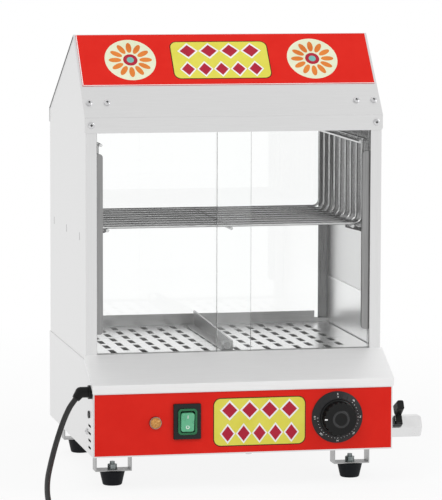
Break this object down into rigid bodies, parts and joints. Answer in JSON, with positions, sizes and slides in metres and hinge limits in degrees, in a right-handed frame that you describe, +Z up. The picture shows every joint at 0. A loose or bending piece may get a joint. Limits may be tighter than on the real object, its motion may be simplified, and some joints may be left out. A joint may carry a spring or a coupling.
{
  "type": "countertop hot dog steamer",
  "caption": "Counter-top steam cabinet with a gabled roof, sliding glass doors, a wire bun rack over a perforated tray, and a heated base with controls and a drain valve.",
  "frame": {"origin": "on the counter under the cabinet, midway between the sides and between the front lip and the back", "axes": "+X to the right as the user faces the doors, +Y to the back, +Z up"},
  "size_m": [0.5723, 0.6368, 0.534],
  "materials": {
    "steel_sheet": "brushed stainless steel",
    "steel_wire": "electropolished stainless wire",
    "red_panel": "gloss red film on thin sheet",
    "clear_glass": "clear toughened glass",
    "track_aluminium": "satin anodised",
    "black_plastic": "moulded",
    "switch_black": "moulded, semi-gloss",
    "green_plastic": "translucent green",
    "amber_lens": "translucent amber",
    "lamp_chrome": "plated",
    "zinc": "bright zinc plated",
    "black_rubber": "moulded rubber",
    "plated_valve": "nickel plated",
    "copper_pipe": "drawn copper tube",
    "cord_black": "matt sheath",
    "block_white": "moulded"
  },
  "bodies": {
    "cabinet": {"base_bottom_plate": "steel_sheet", "base_casing": "steel_sheet", "base_screws": "zinc", "bottom_door_track": "track_aluminium", "control_box": "steel_sheet", "control_panel": "red_panel", "cord_coil": "cord_black", "cord_tail": "cord_black", "deck": "steel_sheet", "dial_ring": "track_aluminium", "drain_pipe": "copper_pipe", "drain_valve_body": "plated_valve", "foot_brackets": "steel_sheet", "foot_fasteners": "zinc", "front_hood": "steel_sheet", "front_left_foot": "black_rubber", "front_right_foot": "black_rubber", "gland_nuts": "zinc", "heating_element": "steel_wire", "hole_plug": "black_plastic", "hood_screws": "zinc", "lamp_bezel": "lamp_chrome", "lamp_lens": "amber_lens", "left_rack_hooks": "steel_sheet", "left_side_panel": "steel_sheet", "left_wall_liner": "steel_sheet", "mains_plug": "black_plastic", "power_cord": "cord_black", "rear_glass": "clear_glass", "rear_hood": "steel_sheet", "rear_left_foot": "black_rubber", "rear_right_foot": "black_rubber", "rear_sill": "steel_sheet", "rear_top_rail": "steel_sheet", "right_rack_hooks": "steel_sheet", "right_side_panel": "steel_sheet", "right_wall_liner": "steel_sheet", "sign_panel": "red_panel", "strain_relief": "black_plastic", "switch_bezel": "switch_black", "switch_cover": "green_plastic", "terminal_block": "block_white", "thermostat_body": "black_plastic", "thermostat_bulb": "steel_wire", "top_door_track": "track_aluminium", "valve_bonnet": "black_plastic", "valve_lock_nut": "zinc", "water_tank": "steel_sheet"},
    "left_door": {"left_door_glass": "clear_glass", "left_door_pull": "steel_sheet"},
    "right_door": {"right_door_glass": "clear_glass", "right_door_pull": "steel_sheet"},
    "knob": {"thermostat_knob": "black_plastic", "thermostat_shaft": "zinc"},
    "rocker": {"switch_rocker": "green_plastic"},
    "drain_lever": {"valve_lever": "plated_valve"},
    "rack": {"bun_rack": "steel_wire"},
    "tray": {"perforated_tray": "steel_sheet"},
    "tray_divider": {"divider": "steel_sheet"}
  },
  "joints": [
    {"name": "left_door_slide", "type": "slide", "parent": "cabinet", "child": "left_door", "axis": [1, 0, 0], "range_m": [0, 0.135]},
    {"name": "right_door_slide", "type": "slide", "parent": "cabinet", "child": "right_door", "axis": [1, 0, 0], "range_m": [-0.135, 0]},
    {"name": "thermostat_turn", "type": "hinge", "parent": "cabinet", "child": "knob", "pos_m": [0.1127, -0.1633, 0.0848], "axis": [0, -1, 0], "range_deg": [0, 270]},
    {"name": "switch_rock", "type": "hinge", "parent": "cabinet", "child": "rocker", "pos_m": [-0.069, -0.1638, 0.085], "axis": [1, 0, 0], "range_deg": [-14, 0]},
    {"name": "drain_lever_turn", "type": "hinge", "parent": "cabinet", "child": "drain_lever", "pos_m": [0.2015, -0.094, 0.0602], "axis": [0, 0.866, -0.5], "range_deg": [0, 90]},
    {"name": "rack_lift", "type": "slide", "parent": "cabinet", "child": "rack", "axis": [0, 0, 1], "range_m": [0, 0.02]},
    {"name": "tray_lift", "type": "slide", "parent": "cabinet", "child": "tray", "axis": [0, 0, 1], "range_m": [0, 0.03]},
    {"name": "divider_slide", "type": "slide", "parent": "tray", "child": "tray_divider", "axis": [1, 0, 0], "range_m": [-0.1, 0.1]}
  ]
}
